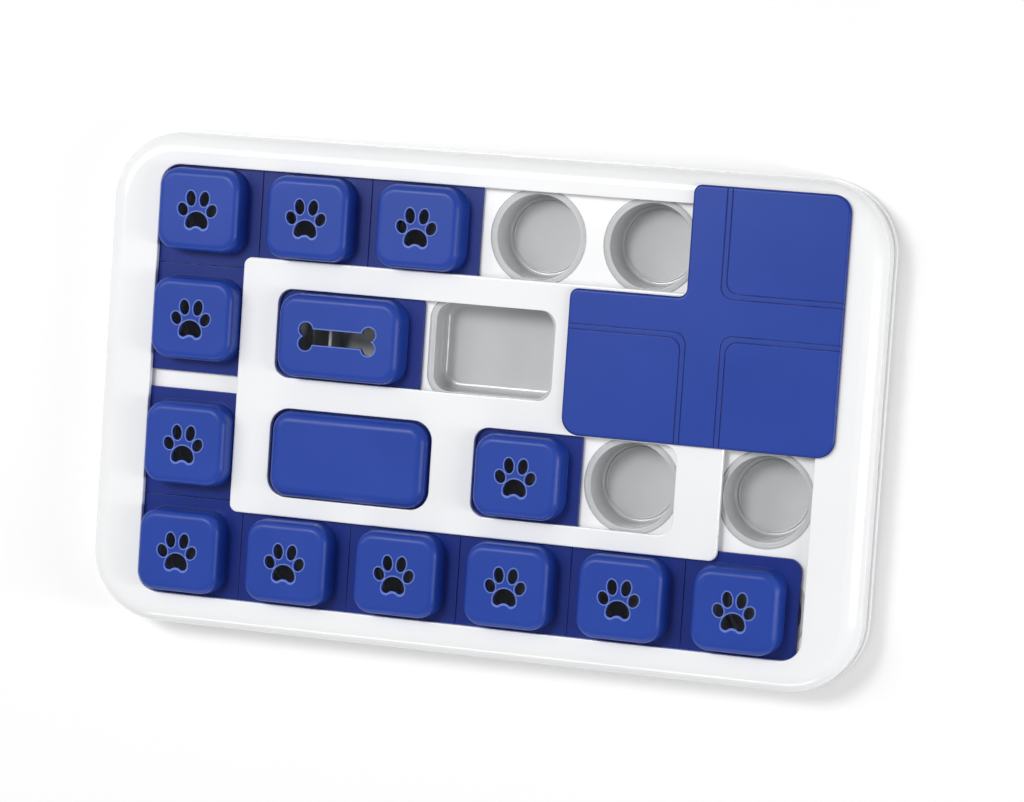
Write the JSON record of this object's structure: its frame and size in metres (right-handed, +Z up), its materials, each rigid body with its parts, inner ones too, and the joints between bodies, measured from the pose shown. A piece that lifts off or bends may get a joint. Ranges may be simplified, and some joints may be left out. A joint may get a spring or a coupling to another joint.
{
  "type": "dog puzzle feeder toy",
  "caption": "Slow-feeder puzzle board: paw sliders in a ring channel, a bone slider, a squeaky push button and a rotating cover hide cups for dry food.",
  "frame": {"origin": "middle of the footprint, on the surface that the feet stand on", "axes": "+X along the long side, +Y along the short side towards the rotating cover's edge, +Z up"},
  "size_m": [0.383, 0.2394, 0.0377],
  "materials": {
    "white_shell": "glossy moulded plastic",
    "blue_plastic": "satin moulded plastic",
    "frosted_cup": "frosted, slightly translucent moulded plastic",
    "white_rubber": "soft matt",
    "grey_rubber": "matt",
    "steel": "zinc plated"
  },
  "bodies": {
    "body": {"top_frame": "white_shell", "base_tray": "white_shell", "island_plate": "white_shell", "cup_top_1": "frosted_cup", "cup_top_2": "frosted_cup", "cup_top_3": "frosted_cup", "cup_top_4": "frosted_cup", "cup_top_5": "frosted_cup", "cup_bottom_1": "frosted_cup", "cup_bottom_2": "frosted_cup", "cup_bottom_3": "frosted_cup", "cup_bottom_4": "frosted_cup", "cup_bottom_5": "frosted_cup", "cup_left_2": "frosted_cup", "cup_left_3": "frosted_cup", "cup_right_1": "frosted_cup", "cup_right_2": "frosted_cup", "cup_right_3": "frosted_cup", "cup_right_4": "frosted_cup", "cup_island_paw": "frosted_cup", "cup_island_small": "frosted_cup", "cup_island_hidden": "frosted_cup", "cup_island_long": "frosted_cup", "cup_island_bone": "frosted_cup", "squeaker_reed": "white_shell", "squeaker_bellows": "white_rubber", "frame_screws": "steel", "island_screws": "steel", "rubber_feet": "grey_rubber"},
    "slider_top_1": {"slider_top_1": "blue_plastic"},
    "slider_top_2": {"slider_top_2": "blue_plastic"},
    "slider_top_3": {"slider_top_3": "blue_plastic"},
    "slider_left_2": {"slider_left_2": "blue_plastic"},
    "slider_left_3": {"slider_left_3": "blue_plastic"},
    "slider_bottom_1": {"slider_bottom_1": "blue_plastic"},
    "slider_bottom_2": {"slider_bottom_2": "blue_plastic"},
    "slider_bottom_3": {"slider_bottom_3": "blue_plastic"},
    "slider_bottom_4": {"slider_bottom_4": "blue_plastic"},
    "slider_bottom_5": {"slider_bottom_5": "blue_plastic"},
    "slider_bottom_6": {"slider_bottom_6": "blue_plastic"},
    "small_slider": {"small_slider": "blue_plastic"},
    "bone_slider": {"bone_slider": "blue_plastic"},
    "push_button": {"push_button": "blue_plastic"},
    "rotating_cover": {"rotating_cover": "blue_plastic", "cover_washer": "steel", "cover_screw": "steel"}
  },
  "joints": [
    {"name": "top_1_slide", "type": "slide", "parent": "body", "child": "slider_top_1", "axis": [1, 0, 0], "range_m": [0, 0.0525]},
    {"name": "top_2_slide", "type": "slide", "parent": "body", "child": "slider_top_2", "axis": [1, 0, 0], "range_m": [0, 0.0525]},
    {"name": "top_3_slide", "type": "slide", "parent": "body", "child": "slider_top_3", "axis": [1, 0, 0], "range_m": [0, 0.0525]},
    {"name": "left_2_slide", "type": "slide", "parent": "body", "child": "slider_left_2", "axis": [0, 1, 0], "range_m": [-0.0078, 0]},
    {"name": "left_3_slide", "type": "slide", "parent": "body", "child": "slider_left_3", "axis": [0, 1, 0], "range_m": [0, 0.0078]},
    {"name": "bottom_1_slide", "type": "slide", "parent": "body", "child": "slider_bottom_1", "axis": [1, 0, 0], "range_m": [0, 0.009]},
    {"name": "bottom_2_slide", "type": "slide", "parent": "body", "child": "slider_bottom_2", "axis": [1, 0, 0], "range_m": [0, 0.009]},
    {"name": "bottom_3_slide", "type": "slide", "parent": "body", "child": "slider_bottom_3", "axis": [1, 0, 0], "range_m": [0, 0.009]},
    {"name": "bottom_4_slide", "type": "slide", "parent": "body", "child": "slider_bottom_4", "axis": [1, 0, 0], "range_m": [0, 0.009]},
    {"name": "bottom_5_slide", "type": "slide", "parent": "body", "child": "slider_bottom_5", "axis": [1, 0, 0], "range_m": [0, 0.009]},
    {"name": "bottom_6_slide", "type": "slide", "parent": "body", "child": "slider_bottom_6", "axis": [1, 0, 0], "range_m": [0, 0.009]},
    {"name": "bone_slide", "type": "slide", "parent": "body", "child": "bone_slider", "axis": [1, 0, 0], "range_m": [0, 0.0655]},
    {"name": "small_slide", "type": "slide", "parent": "body", "child": "small_slider", "axis": [1, 0, 0], "range_m": [0, 0.0505]},
    {"name": "button_press", "type": "slide", "parent": "body", "child": "push_button", "axis": [0, 0, 1], "range_m": [-0.003, 0], "stiffness_N_per_m": 500, "springref_m": 0.002, "deforming": ["squeaker_bellows"]},
    {"name": "cover_turn", "type": "hinge", "parent": "body", "child": "rotating_cover", "pos_m": [0.10835, 0.05215, 0.0283], "axis": [0, 0, 1], "continuous": true}
  ],
  "couplings": [
    {"joint": "top_2_slide", "follows": "top_1_slide", "ratio": 1},
    {"joint": "top_3_slide", "follows": "top_1_slide", "ratio": 1},
    {"joint": "bottom_2_slide", "follows": "bottom_1_slide", "ratio": 1},
    {"joint": "bottom_3_slide", "follows": "bottom_1_slide", "ratio": 1},
    {"joint": "bottom_4_slide", "follows": "bottom_1_slide", "ratio": 1},
    {"joint": "bottom_5_slide", "follows": "bottom_1_slide", "ratio": 1},
    {"joint": "bottom_6_slide", "follows": "bottom_1_slide", "ratio": 1}
  ]
}
